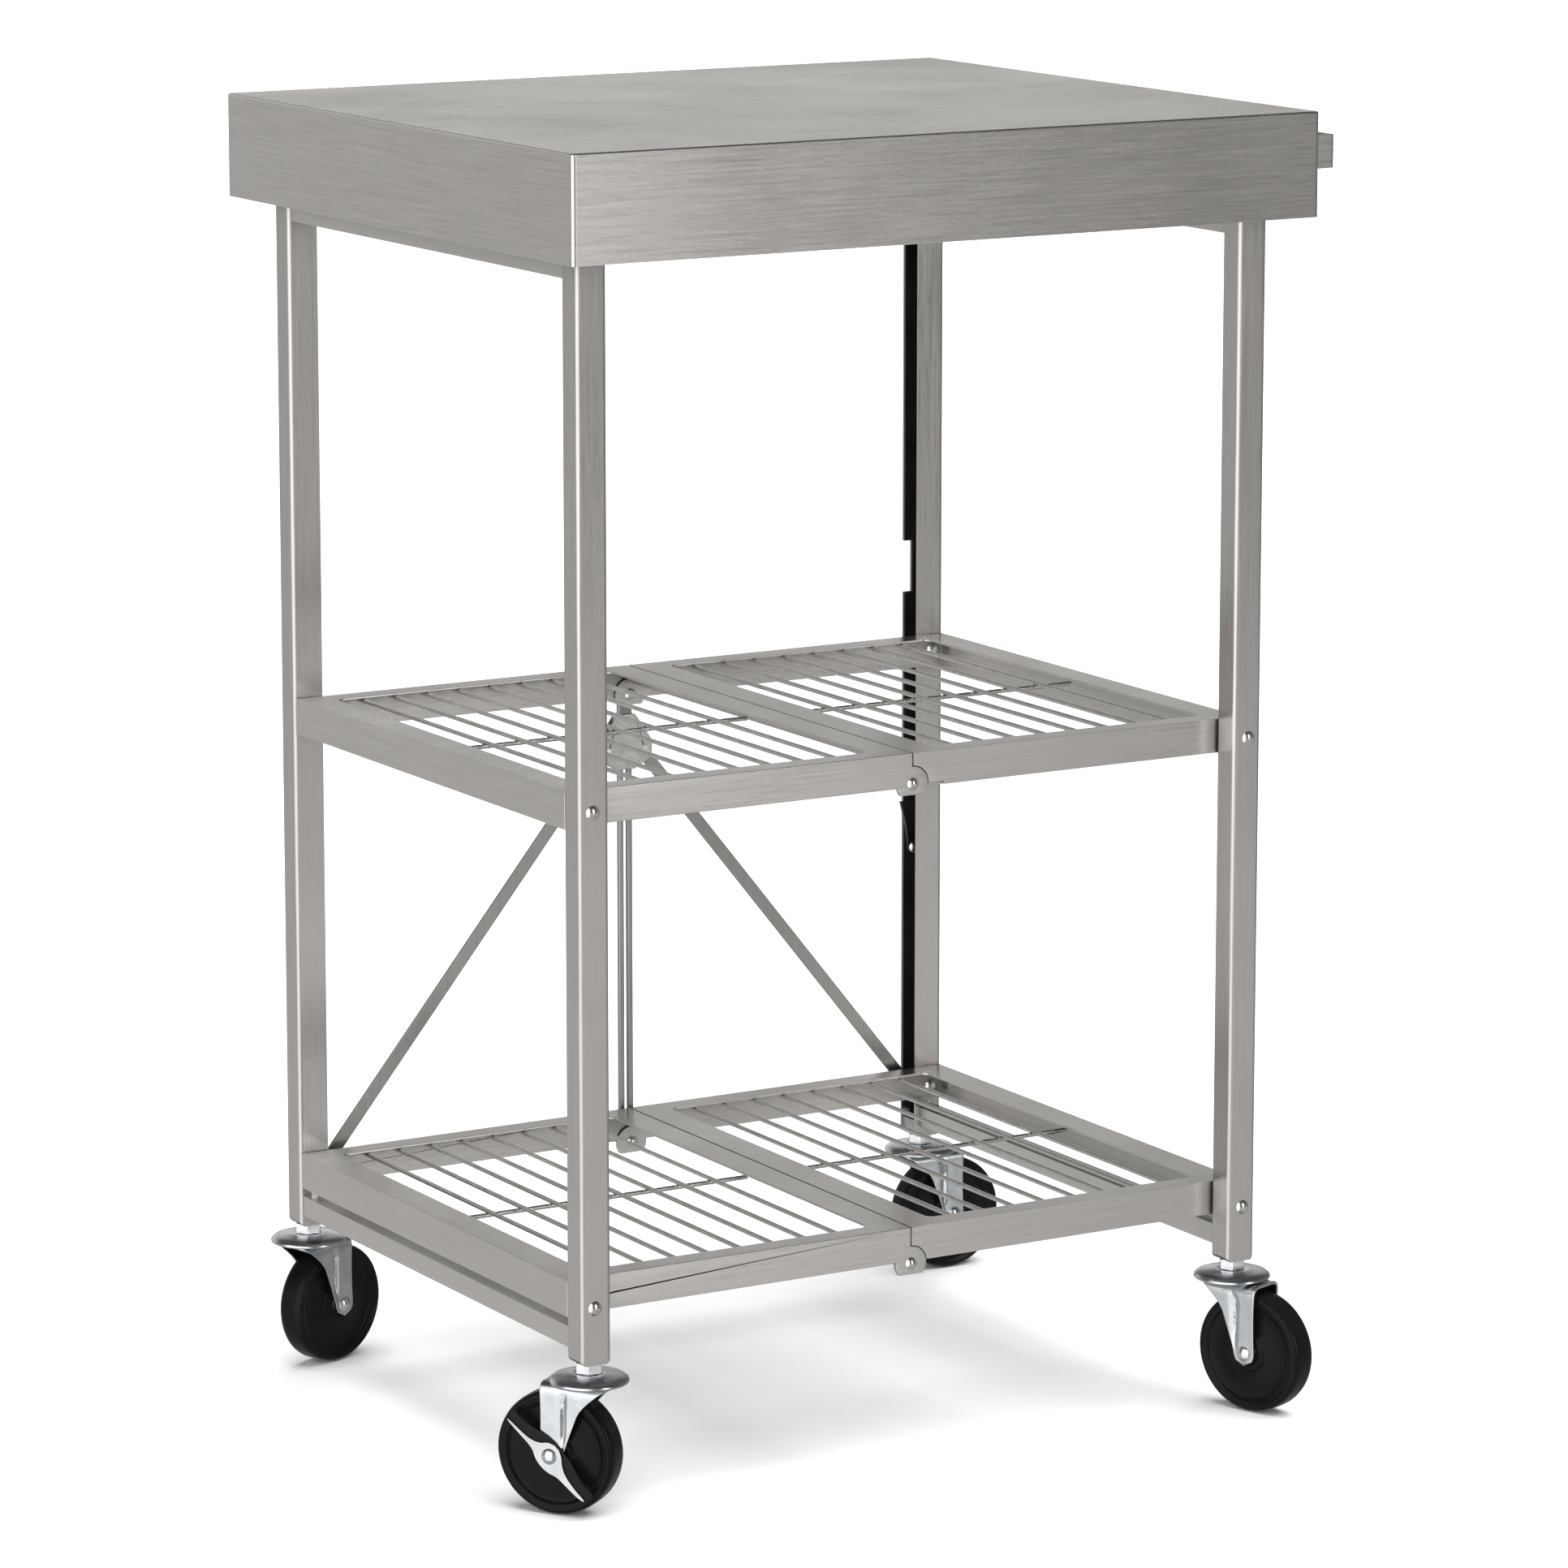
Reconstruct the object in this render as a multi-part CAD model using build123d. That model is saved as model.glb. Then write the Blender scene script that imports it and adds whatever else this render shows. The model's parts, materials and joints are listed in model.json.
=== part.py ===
"""Folding kitchen cart: a lift-off pan top on two end frames, joined by two shelves that fold upwards.

Millimetres, +Z up, front towards -Y. All pieces are drawn about the middle of the top, on the floor,
and moved together at the end so that the origin is the middle of the whole cart's box, on the floor.
"""
from build123d import *
import os
from math import cos, hypot, radians, sin

# ---- driving dimensions -------------------------------------------------------------------------
# top pan
top_length = 570.0
top_depth = 494.0
top_height = 900.0
apron_height = 71.0
pan_sheet = 1.5
pan_corner = 3.0
# end frames
frame_length = 530.0          # over the outer faces of the left and right legs
frame_depth = 431.0           # over the outer faces of the front and back legs
leg_width = 22.0              # along X
leg_depth = 21.0              # along Y
leg_sheet = 1.5
leg_corner = 3.0
leg_bottom = 104.0
leg_foot_cut = 3.0            # chamfer on a leg's lower corners
leg_pin_inset = 10.0          # from a leg's outer face to the shelf pivots
top_rail_bottom = 815.0
top_rail_height = 28.0
rail_width = 16.0
rail_inset = 2.0              # from a leg's outer face to a cross rail
foot_rail_bottom = 112.0
foot_rail_height = 14.5
plug_rim = 2.0
plug_depth = 12.0
foot_plate_height = 12.0
# shelves
middle_shelf_top = 482.5
middle_pivot_height = 471.5
bottom_shelf_top = 157.5
bottom_pivot_height = 142.5
knee_drop = 10.0              # centre hinge below the leg pivots
shelf_sheet = 1.5
shelf_rail_height = 23.5
end_skirt_height = 25.0
seam_skirt_height = 12.0
tray_inset = 1.0              # from a leg's outer face to a shelf's end
end_border = 23.5             # flat border beside the legs
side_border = 17.0            # flat border at the front and the back
seam_border = 24.0            # flat border beside the centre seam
opening_corner = 6.0
knuckle_radius = 12.0
knuckle_drop = 7.6            # the knuckle's flat underside below the centre hinge
doubler_length = 34.0
wire_radius = 1.6
wire_pitch = 24.9
wires_per_half = 8
wire_lap = 9.0                # a wire's end under the flat border
# pins
pivot_radius = 3.0
pivot_head_radius = 4.9
pivot_head_height = 2.2
knee_radius = 2.5
knee_head_radius = 4.3
pin_cap_height = 1.5
# centre rod, sliding bracket and braces
rod_width = 11.0
rod_thickness = 4.0
rod_end = 8.0                 # past each pivot
rod_slot = 3.0
rod_slot_margin = 16.0        # from a pivot to the slot's end
bracket_pin_spread = 30.0     # between the two brace pins
bracket_pin_drop = 41.5       # brace pins below the centre hinge
bracket_plate = 1.5
bracket_ear = 6.0             # plate past each brace pin
bracket_rise = 26.0           # plate above the brace pins
bracket_fall = 14.0           # plate below the brace pins
brace_width = 9.0
brace_thickness = 3.0
brace_pin_radius = 2.5
brace_foot_height = 128.0
brace_foot_inset = 11.0       # from a back leg's outer face
# lock bar and lever in the back right leg
lock_sheet = 1.8
lock_width = 10.4
lock_bottom = 147.0
lock_top = 818.0
window_bottom = 512.0
window_height = 38.0
window_depth = 6.5
lever_bolt_height = 321.0
lever_bolt_inset = 15.0       # from the leg's outer face
lever_bolt_radius = 2.5
lever_thickness = 3.0
lever_reach = 35.0            # above its bolt
lever_nose = 4.5              # past the leg's open side
lever_back = 5.0              # behind its bolt
# side handle
handle_height = 23.0
handle_top_drop = 21.5        # below the worktop
handle_sheet = 3.0
handle_reach = 46.5
handle_inset = 48.0           # from the pan's front and back faces
handle_tab = 22.0
screw_radius = 4.0
screw_shank_radius = 2.0
screw_head_height = 2.0
screw_inset = 6.0             # from a tab's inner end to its first screw
screw_spacing = 8.0
# under the top
stiffener_length = 400.0
stiffener_width = 40.0
stiffener_height = 12.0
stiffener_spacing = 200.0
corner_block_height = 18.0
corner_block_arm = 42.0
corner_block_gap = 1.0        # to the leg that it sits round
# casters
wheel_radius = 42.0
wheel_width = 22.0
wheel_edge = 3.5
wheel_rim = 8.0
wheel_dish = 4.0
wheel_hub_radius = 12.0
trail = 21.0
bush_radius = 6.5
bush_proud = 1.0              # past the wheel's faces
axle_radius = 4.0
axle_head_radius = 5.3
axle_head_height = 2.4
fork_plate = 2.0
fork_disc_radius = 26.5
fork_disc_thickness = 3.0
fork_disc_top = 97.0
race_radius = 20.0
race_height = 3.5
crown_height = 2.0
fork_eye = 8.5
fork_front = 30.0             # side plate's top edge, on the trailing side
fork_back = 22.0              # side plate's top edge, on the leading side
fork_waist = 9.0              # side plate's leading edge, below the crown
fork_waist_height = 74.0
stem_radius = 5.0
stem_top = 120.0
stem_head_radius = 8.5
stem_head_height = 2.0
stem_nut_radius = 9.5
rest_swivel = {"front_left": 126.0, "front_right": -70.0, "back_left": 20.0, "back_right": 0.0}
brake_casters = ("front_left", "back_right")
brake_length = 78.0
brake_width = 9.0
brake_pad_width = 17.0
brake_sheet = 1.5
brake_angle = 42.0            # the pedal's slope across the wheel
# clearances
running_gap = 0.06            # radial, shaft in a hole
side_gap = 0.3                # between faces that slide past each other
frame_gap = 0.5               # between a shelf's rails and the legs
seam_gap = 1.0                # between the two halves of a shelf
knuckle_gap = 0.4             # radial, round a knuckle
wheel_gap = 1.6               # between a wheel and its fork

# ---- places worked out from them ----------------------------------------------------------------
frame_x = frame_length / 2
frame_y = frame_depth / 2
leg_inner_x = frame_x - leg_width
leg_inner_y = frame_y - leg_depth
pivot_x = frame_x - leg_pin_inset
stem_x = frame_x - leg_width / 2
stem_y = frame_y - leg_depth / 2
pan_underside = top_height - pan_sheet
leg_top = pan_underside - side_gap - plug_rim
shelf_y = leg_inner_y - frame_gap
shelf_x = frame_x - tray_inset
seam_x = seam_gap / 2
rail_inner_y = shelf_y - shelf_sheet
doubler_y = rail_inner_y - side_gap
doubler_inner_y = doubler_y - shelf_sheet
middle_knee = middle_pivot_height - knee_drop
bottom_knee = bottom_pivot_height - knee_drop
rod_y = shelf_y + 3 * side_gap + pin_cap_height + bracket_plate
rod_back_y = rod_y + rod_thickness
bracket_front_y = rod_y - side_gap - bracket_plate
bracket_back_y = rod_back_y + side_gap + bracket_plate
brace_y = bracket_back_y + side_gap
bracket_pin_height = middle_knee - bracket_pin_drop
brace_foot_x = frame_x - brace_foot_inset
fork_inner = wheel_width / 2 + wheel_gap
fork_outer = fork_inner + fork_plate
brake_inner = fork_outer + side_gap
brake_outer = brake_inner + 2 * brake_sheet
crown_bottom = fork_disc_top - fork_disc_thickness - race_height - crown_height


# ---- shapes used by many pieces -----------------------------------------------------------------
def block(xs, ys, zs):
    """A box between two X, two Y and two Z values, given in either order."""
    lows = [min(pair) for pair in (xs, ys, zs)]
    highs = [max(pair) for pair in (xs, ys, zs)]
    size = [high - low for low, high in zip(lows, highs)]
    middle = [(high + low) / 2 for low, high in zip(lows, highs)]
    return Pos(*middle) * Box(*size)


def round_y(x, z, ys, radius):
    """A cylinder along Y between two Y values."""
    length = abs(ys[1] - ys[0])
    return Pos(x, (ys[0] + ys[1]) / 2, z) * Rot(90, 0, 0) * Cylinder(radius, length)


def round_z(x, y, zs, radius):
    """A cylinder along Z between two Z values."""
    return Pos(x, y, (zs[0] + zs[1]) / 2) * Cylinder(radius, abs(zs[1] - zs[0]))


def dome_y(x, z, y, outward, radius, height):
    """A domed rivet head on a face at y, standing out along outward (+1 or -1)."""
    ball_radius = (radius ** 2 + height ** 2) / (2 * height)
    ball = Pos(x, y + outward * (height - ball_radius), z) * Sphere(ball_radius)
    return ball & round_y(x, z, (y, y + outward * height), radius)


def bar_between(start, end, ys, width, hole_radius):
    """A flat bar with round ends in an XZ plane, drilled at both ends."""
    length = hypot(end[0] - start[0], end[1] - start[1])
    across = ((end[1] - start[1]) * width / 2 / length, -(end[0] - start[0]) * width / 2 / length)
    corners = [(start[0] + across[0], start[1] + across[1]), (end[0] + across[0], end[1] + across[1]),
               (end[0] - across[0], end[1] - across[1]), (start[0] - across[0], start[1] - across[1])]
    bar = plate_y(corners, ys)
    for place in (start, end):
        bar += round_y(place[0], place[1], ys, width / 2)
    for place in (start, end):
        bar -= round_y(place[0], place[1], ys, hole_radius)
    return bar


def plate_y(outline, ys):
    """A flat plate with an XZ outline, between two Y values."""
    wires = Polyline([(x, 0, z) for x, z in outline], close=True)
    face = make_face(wires)
    return Pos(0, max(ys), 0) * extrude(face, abs(ys[1] - ys[0]), dir=(0, -1, 0))


# ---- end frames ---------------------------------------------------------------------------------
def foot_corners(side, row, cut, inset):
    """The two wedges that chamfer a leg's lower corners, or those of the plate inside it."""
    ys = (row * (frame_y + leg_sheet), row * (leg_inner_y - leg_sheet))
    wedges = []
    for corner_x, inwards in ((side * (frame_x - inset), -side), (side * (leg_inner_x + inset), side)):
        outline = [(corner_x - inwards * leg_sheet, leg_bottom - leg_sheet),
                   (corner_x + inwards * (cut + leg_sheet), leg_bottom - leg_sheet),
                   (corner_x - inwards * leg_sheet, leg_bottom + cut + leg_sheet)]
        wedges.append(plate_y(outline, ys))
    return wedges


def leg(side, row):
    """A leg: in front a square tube, behind a channel open towards the middle of the cart."""
    outer_x = side * frame_x
    outer_y = row * frame_y
    inner_y = row * leg_inner_y
    shape = block((outer_x, side * leg_inner_x), (outer_y, inner_y), (leg_bottom, leg_top))
    corners = shape.edges().filter_by(Axis.Z)
    if row > 0:
        corners = [edge for edge in corners if abs(edge.center().X - outer_x) < leg_sheet]
    shape = fillet(corners, leg_corner)
    hollow_end = leg_inner_x + leg_sheet if row < 0 else leg_inner_x - leg_sheet
    shape -= block((side * (frame_x - leg_sheet), side * hollow_end),
                   (outer_y - row * leg_sheet, inner_y + row * leg_sheet),
                   (leg_bottom - leg_sheet, leg_top + leg_sheet))
    outer_hole = outer_y + row * leg_sheet if row < 0 else inner_y + 2 * leg_sheet
    for height in (middle_pivot_height, bottom_pivot_height):
        shape -= round_y(side * pivot_x, height, (outer_hole, inner_y - row * leg_sheet), pivot_radius)
    if row > 0:
        shape -= round_y(side * brace_foot_x, brace_foot_height, (inner_y - leg_sheet, outer_y + leg_sheet),
                         brace_pin_radius)
    for wedge in foot_corners(side, row, leg_foot_cut, 0):
        shape -= wedge
    return shape


def back_right_leg():
    """The back right leg, with a window in its back flange and a hole for the lever's bolt."""
    shape = leg(1, 1)
    flange_ys = (frame_y - 2 * leg_sheet, frame_y + leg_sheet)
    shape -= block((leg_inner_x - leg_sheet, leg_inner_x + window_depth), flange_ys,
                   (window_bottom, window_bottom + window_height))
    return shape - round_y(frame_x - lever_bolt_inset, lever_bolt_height, flange_ys, lever_bolt_radius)


def cross_rail(side, bottom, height):
    """A rectangular tube between the front and back legs of one end frame."""
    xs = (side * (frame_x - rail_inset), side * (frame_x - rail_inset - rail_width))
    tube = block(xs, (-leg_inner_y, leg_inner_y), (bottom, bottom + height))
    hollow = block((xs[0] - side * leg_sheet, xs[1] + side * leg_sheet), (-frame_y, frame_y),
                   (bottom + leg_sheet, bottom + height - leg_sheet))
    return tube - hollow


def leg_plugs(side):
    """The plastic plugs in the tops of one frame's two legs."""
    plugs = []
    for row in (-1, 1):
        rim = block((side * frame_x, side * leg_inner_x), (row * frame_y, row * leg_inner_y),
                    (leg_top, leg_top + plug_rim))
        body = block((side * (frame_x - leg_sheet), side * (leg_inner_x + leg_sheet)),
                     (row * (frame_y - leg_sheet), row * (leg_inner_y + leg_sheet)),
                     (leg_top - plug_depth, leg_top))
        plugs.append(rim + body)
    return Compound(plugs)


def foot_plates(side):
    """The threaded blocks in the bottoms of one frame's two legs."""
    plates = []
    for row in (-1, 1):
        plate = block((side * (frame_x - leg_sheet), side * (leg_inner_x + leg_sheet)),
                      (row * (frame_y - leg_sheet), row * (leg_inner_y + leg_sheet)),
                      (leg_bottom, leg_bottom + foot_plate_height))
        for wedge in foot_corners(side, row, leg_foot_cut - leg_sheet, leg_sheet):
            plate -= wedge
        zs = (leg_bottom, leg_bottom + foot_plate_height)
        plates.append(plate - round_z(side * stem_x, row * stem_y, zs, stem_radius))
    return Compound(plates)


def frame_pins(side):
    """One end frame's pins: the shelves' rivets, long in front and short behind, and the brace's foot pin."""
    pins = []
    cap_y = rail_inner_y - side_gap
    for height in (middle_pivot_height, bottom_pivot_height):
        x = side * pivot_x
        front = round_y(x, height, (-frame_y, -cap_y), pivot_radius)
        front += dome_y(x, height, -frame_y, -1, pivot_head_radius, pivot_head_height)
        front += round_y(x, height, (-cap_y, -cap_y + pin_cap_height), pivot_head_radius)
        back_head = leg_inner_y + leg_sheet
        back = round_y(x, height, (cap_y, back_head + pin_cap_height), pivot_radius)
        back += round_y(x, height, (back_head, back_head + pin_cap_height), pivot_head_radius)
        back += dome_y(x, height, cap_y, -1, pivot_head_radius, pivot_head_height)
        pins += [front, back]
    pins.append(round_y(side * brace_foot_x, brace_foot_height, (leg_inner_y, frame_y), brace_pin_radius))
    return Compound(pins)


def caster_stems(side):
    """The stems of one frame's two casters, each with its nut and the head that carries the fork."""
    stems = []
    for row in (-1, 1):
        x = side * stem_x
        y = row * stem_y
        stem = round_z(x, y, (crown_bottom - side_gap, stem_top), stem_radius)
        head_top = crown_bottom - side_gap
        stem += round_z(x, y, (head_top - stem_head_height, head_top), stem_head_radius)
        nut = extrude(RegularPolygon(stem_nut_radius, 6), leg_bottom - fork_disc_top - side_gap)
        stem += Pos(x, y, fork_disc_top + side_gap) * nut
        stems.append(stem)
    return Compound(stems)


# ---- shelves ------------------------------------------------------------------------------------
def tray(side, shelf_top, pivot_height):
    """Half of a shelf: a pressed frame with turned-down edges, pivoted at the leg and at the knee."""
    knee = pivot_height - knee_drop
    rail_bottom = shelf_top - shelf_rail_height
    below_knuckle = (knee - 2 * knuckle_radius, knee - knuckle_drop)
    deck = block((side * shelf_x, side * seam_x), (-shelf_y, shelf_y), (shelf_top - shelf_sheet, shelf_top))
    opening = block((side * (frame_x - end_border), side * seam_border),
                    (-(shelf_y - side_border), shelf_y - side_border),
                    (shelf_top - 2 * shelf_sheet, shelf_top + shelf_sheet))
    opening = fillet(opening.edges().filter_by(Axis.Z), opening_corner)
    shape = deck - opening
    shape += block((side * shelf_x, side * (shelf_x - shelf_sheet)), (-shelf_y, shelf_y),
                   (shelf_top - end_skirt_height, shelf_top))
    seam_y = rail_inner_y - knee_head_radius - pin_cap_height
    shape += block((side * seam_x, side * (seam_x + shelf_sheet)), (-seam_y, seam_y),
                   (shelf_top - seam_skirt_height, shelf_top))
    for row in (-1, 1):
        rail_ys = (row * rail_inner_y, row * shelf_y)
        doubler_ys = (row * doubler_inner_y, row * doubler_y)
        rail = block((side * shelf_x, side * seam_x), rail_ys, (rail_bottom, shelf_top))
        if side < 0:
            rail += round_y(0, knee, rail_ys, knuckle_radius)
            rail -= block((-knuckle_radius, knuckle_radius), rail_ys, below_knuckle)
            shape += rail - round_y(0, knee, rail_ys, knee_radius)
        else:
            rail -= block((-knuckle_radius, 2 * knuckle_radius), rail_ys, (knee - 2 * knuckle_radius, knee))
            shape += rail - round_y(0, knee, rail_ys, knuckle_radius + knuckle_gap)
            web = plate_y([(knuckle_radius, rail_bottom), (doubler_length, rail_bottom),
                           (doubler_length, knee + knuckle_radius), (0, knee + knuckle_radius),
                           (0, knee - knuckle_radius + shelf_sheet)], doubler_ys)
            doubler = web + round_y(0, knee, doubler_ys, knuckle_radius)
            doubler -= block((-knuckle_radius, knuckle_radius), doubler_ys, below_knuckle)
            doubler += block((knuckle_radius + 2 * knuckle_gap, doubler_length),
                             (row * doubler_y, row * rail_inner_y),
                             (rail_bottom + shelf_sheet, knee + knuckle_radius))
            shape += doubler - round_y(0, knee, doubler_ys, knee_radius + running_gap)
        shape -= round_y(side * pivot_x, pivot_height,
                         (row * (rail_inner_y - shelf_sheet), row * (shelf_y + shelf_sheet)),
                         pivot_radius + running_gap)
    return shape


def wire_grid(side, shelf_top):
    """The wires of half a shelf: a row from front to back, welded over one cross wire."""
    wire_z = shelf_top - shelf_sheet - wire_radius
    cross_z = wire_z - 2 * wire_radius
    wire_end = shelf_y - side_border + wire_lap
    first_x = (frame_x - end_border + seam_border - (wires_per_half - 1) * wire_pitch) / 2
    wires = []
    for index in range(wires_per_half):
        x = side * (first_x + index * wire_pitch)
        wires.append(round_y(x, wire_z, (-wire_end, wire_end), wire_radius))
    cross_length = frame_x - end_border - seam_border + 2 * wire_lap
    cross_middle = side * (frame_x - end_border + seam_border) / 2
    wires.append(Pos(cross_middle, 0, cross_z) * Rot(0, 90, 0) * Cylinder(wire_radius, cross_length))
    return Compound(wires)


def knee_pins(knee):
    """The two pins of a shelf's centre hinge. The back one is long and also holds the centre rod."""
    cap_y = doubler_inner_y - side_gap
    front = round_y(0, knee, (-shelf_y, -cap_y), knee_radius)
    front += dome_y(0, knee, -shelf_y, -1, knee_head_radius, pivot_head_height)
    front += round_y(0, knee, (-cap_y, -cap_y + pin_cap_height), knee_head_radius)
    rod_cap_y = rod_back_y + side_gap
    back = round_y(0, knee, (cap_y, rod_cap_y + pin_cap_height), knee_radius)
    back += dome_y(0, knee, cap_y, -1, knee_head_radius, pivot_head_height)
    back += round_y(0, knee, (rod_cap_y, rod_cap_y + pin_cap_height), knee_head_radius)
    return Compound([front, back])


# ---- centre rod, bracket and braces -------------------------------------------------------------
def centre_rod():
    """The slotted bar that joins the two shelves' centre hinges at the back."""
    ys = (rod_y, rod_back_y)
    bar = bar_between((0, bottom_knee), (0, middle_knee), ys, rod_width, knee_radius + running_gap)
    slot = block((-rod_slot / 2, rod_slot / 2), ys,
                 (bottom_knee + rod_slot_margin, middle_knee - rod_slot_margin))
    return bar - slot


def slide_bracket():
    """The folded bracket that slides on the centre rod and carries the tops of both braces."""
    pin_x = bracket_pin_spread / 2
    top = bracket_pin_height + bracket_rise
    bottom = bracket_pin_height - bracket_fall
    half_width = pin_x + bracket_ear
    waist = rod_width / 2 + side_gap + bracket_plate
    outline = [(-half_width, bracket_pin_height - bracket_ear), (-waist, bottom), (waist, bottom),
               (half_width, bracket_pin_height - bracket_ear), (half_width, bracket_pin_height + bracket_ear),
               (waist, top), (-waist, top), (-half_width, bracket_pin_height + bracket_ear)]
    bracket = plate_y(outline, (bracket_front_y, bracket_front_y + bracket_plate))
    bracket += plate_y(outline, (bracket_back_y - bracket_plate, bracket_back_y))
    drilled = (bracket_front_y - bracket_plate, bracket_back_y + bracket_plate)
    for side in (-1, 1):
        bracket += block((side * waist, side * (waist - bracket_plate)), (bracket_front_y, bracket_back_y),
                         (bottom, top))
        bracket -= round_y(side * pin_x, bracket_pin_height, drilled, brace_pin_radius)
    return bracket


def bracket_pins():
    """The two rivets that the braces turn on at the sliding bracket."""
    pins = []
    back_cap = brace_y + brace_thickness + side_gap
    for side in (-1, 1):
        x = side * bracket_pin_spread / 2
        pin = round_y(x, bracket_pin_height, (bracket_front_y, back_cap), brace_pin_radius)
        pin += round_y(x, bracket_pin_height, (back_cap, back_cap + pin_cap_height), knee_head_radius)
        pins.append(pin)
    return Compound(pins)


def brace(side):
    """The diagonal bar from the sliding bracket down into a back leg."""
    foot = (side * brace_foot_x, brace_foot_height)
    head = (side * bracket_pin_spread / 2, bracket_pin_height)
    ys = (brace_y, brace_y + brace_thickness)
    return bar_between(foot, head, ys, brace_width, brace_pin_radius + running_gap)


# ---- lock bar and lever -------------------------------------------------------------------------
def lock_bar():
    """The black strip inside the back right leg, with the same window as the leg."""
    back_y = frame_y - leg_sheet
    ys = (back_y - lock_sheet, back_y)
    strip = block((leg_inner_x, leg_inner_x + lock_width), ys, (lock_bottom, lock_top))
    strip -= block((leg_inner_x - leg_sheet, leg_inner_x + window_depth), ys,
                   (window_bottom, window_bottom + window_height))
    return strip - round_y(frame_x - lever_bolt_inset, lever_bolt_height, ys, lever_bolt_radius)


def lever_layer():
    """The two Y values between which the lever turns."""
    lever_back_y = frame_y - leg_sheet - lock_sheet - side_gap
    return (lever_back_y - lever_thickness, lever_back_y)


def lever_bolt():
    """The bolt that the lock lever turns on."""
    x = frame_x - lever_bolt_inset
    cap_y = lever_layer()[0] - side_gap
    bolt = round_y(x, lever_bolt_height, (cap_y, frame_y), lever_bolt_radius)
    return bolt + dome_y(x, lever_bolt_height, cap_y, -1, knee_head_radius, screw_head_height)


def lock_lever():
    """The small lever whose nose stands out of the leg's open side."""
    x = frame_x - lever_bolt_inset
    nose_x = leg_inner_x - lever_nose
    top = lever_bolt_height + lever_reach
    ys = lever_layer()
    outline = [(x - lever_back, lever_bolt_height), (x + lever_back, lever_bolt_height),
               (x + lever_back, top), (nose_x, top), (leg_inner_x, top - lever_reach / 2)]
    shape = plate_y(outline, ys) + round_y(x, lever_bolt_height, ys, lever_back)
    return shape - round_y(x, lever_bolt_height, ys, lever_bolt_radius + running_gap)


# ---- top ----------------------------------------------------------------------------------------
def top_pan():
    """The worktop: one sheet folded down on all four sides."""
    half_x = top_length / 2
    half_y = top_depth / 2
    pan = block((-half_x, half_x), (-half_y, half_y), (top_height - apron_height, top_height))
    pan = fillet(pan.edges().filter_by(Axis.Z), pan_corner)
    pan = fillet(pan.edges().group_by(Axis.Z)[-1], pan_sheet)
    pan -= block((pan_sheet - half_x, half_x - pan_sheet), (pan_sheet - half_y, half_y - pan_sheet),
                 (top_height - apron_height - pan_sheet, pan_underside))
    for y, z in handle_screw_places():
        pan -= Pos(half_x - pan_sheet / 2, y, z) * Rot(0, 90, 0) * Cylinder(screw_shank_radius, 2 * pan_sheet)
    return pan


def top_stiffeners():
    """Two channels spot-welded under the worktop."""
    bars = []
    for row in (-1, 1):
        y = row * stiffener_spacing / 2
        bar = block((-stiffener_length / 2, stiffener_length / 2),
                    (y - stiffener_width / 2, y + stiffener_width / 2),
                    (pan_underside - stiffener_height, pan_underside))
        bar -= block((-stiffener_length, stiffener_length),
                     (y - stiffener_width / 2 + pan_sheet, y + stiffener_width / 2 - pan_sheet),
                     (pan_underside - stiffener_height + pan_sheet, pan_underside + pan_sheet))
        bars.append(bar)
    return Compound(bars)


def corner_blocks():
    """Plastic corner blocks in the pan that sit round the four leg tops."""
    blocks = []
    outer_x = top_length / 2 - pan_sheet
    outer_y = top_depth / 2 - pan_sheet
    inner_x = frame_x + corner_block_gap
    inner_y = frame_y + corner_block_gap
    zs = (pan_underside - corner_block_height, pan_underside)
    for side in (-1, 1):
        for row in (-1, 1):
            end = block((side * inner_x, side * outer_x),
                        (row * outer_y, row * (inner_y - corner_block_arm)), zs)
            face = block((side * outer_x, side * (inner_x - corner_block_arm)),
                         (row * inner_y, row * outer_y), zs)
            corner = (side * outer_x, row * outer_y, zs[0])
            uprights = (end + face).edges().filter_by(Axis.Z).sort_by_distance(corner)
            blocks.append(chamfer(uprights[0], pan_corner))
    return Compound(blocks)


def handle_screw_places():
    """The Y and Z of the four screws that hold the side handle."""
    end_y = top_depth / 2 - handle_inset
    screw_z = top_height - handle_top_drop - handle_height / 2
    inner_y = end_y - handle_tab + screw_inset
    return [(row * (inner_y + step), screw_z) for row in (-1, 1) for step in (0, screw_spacing)]


def side_handle():
    """The handle and towel rail on the right end: a flat strip bent out at both ends."""
    face_x = top_length / 2
    out_x = face_x + handle_reach
    end_y = top_depth / 2 - handle_inset
    top = top_height - handle_top_drop
    zs = (top - handle_height, top)
    handle = block((out_x - handle_sheet, out_x), (-end_y, end_y), zs)
    for row in (-1, 1):
        handle += block((face_x, out_x), (row * end_y, row * (end_y - handle_sheet)), zs)
        handle += block((face_x, face_x + handle_sheet), (row * end_y, row * (end_y - handle_tab)), zs)
    handle = fillet(handle.edges().filter_by(Axis.Z).group_by(Axis.X)[-1], handle_sheet)
    for y, z in handle_screw_places():
        handle -= Pos(face_x, y, z) * Rot(0, 90, 0) * Cylinder(screw_shank_radius, 3 * handle_sheet)
    return handle


def handle_screws():
    """The four screws of the side handle, heads outside."""
    screws = []
    face_x = top_length / 2
    head_x = face_x + handle_sheet + screw_head_height / 2
    for y, z in handle_screw_places():
        shank = Pos(face_x, y, z) * Rot(0, 90, 0) * Cylinder(screw_shank_radius, 2 * handle_sheet)
        screws.append(shank + Pos(head_x, y, z) * Rot(0, 90, 0) * Cylinder(screw_radius, screw_head_height))
    return Compound(screws)


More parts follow.
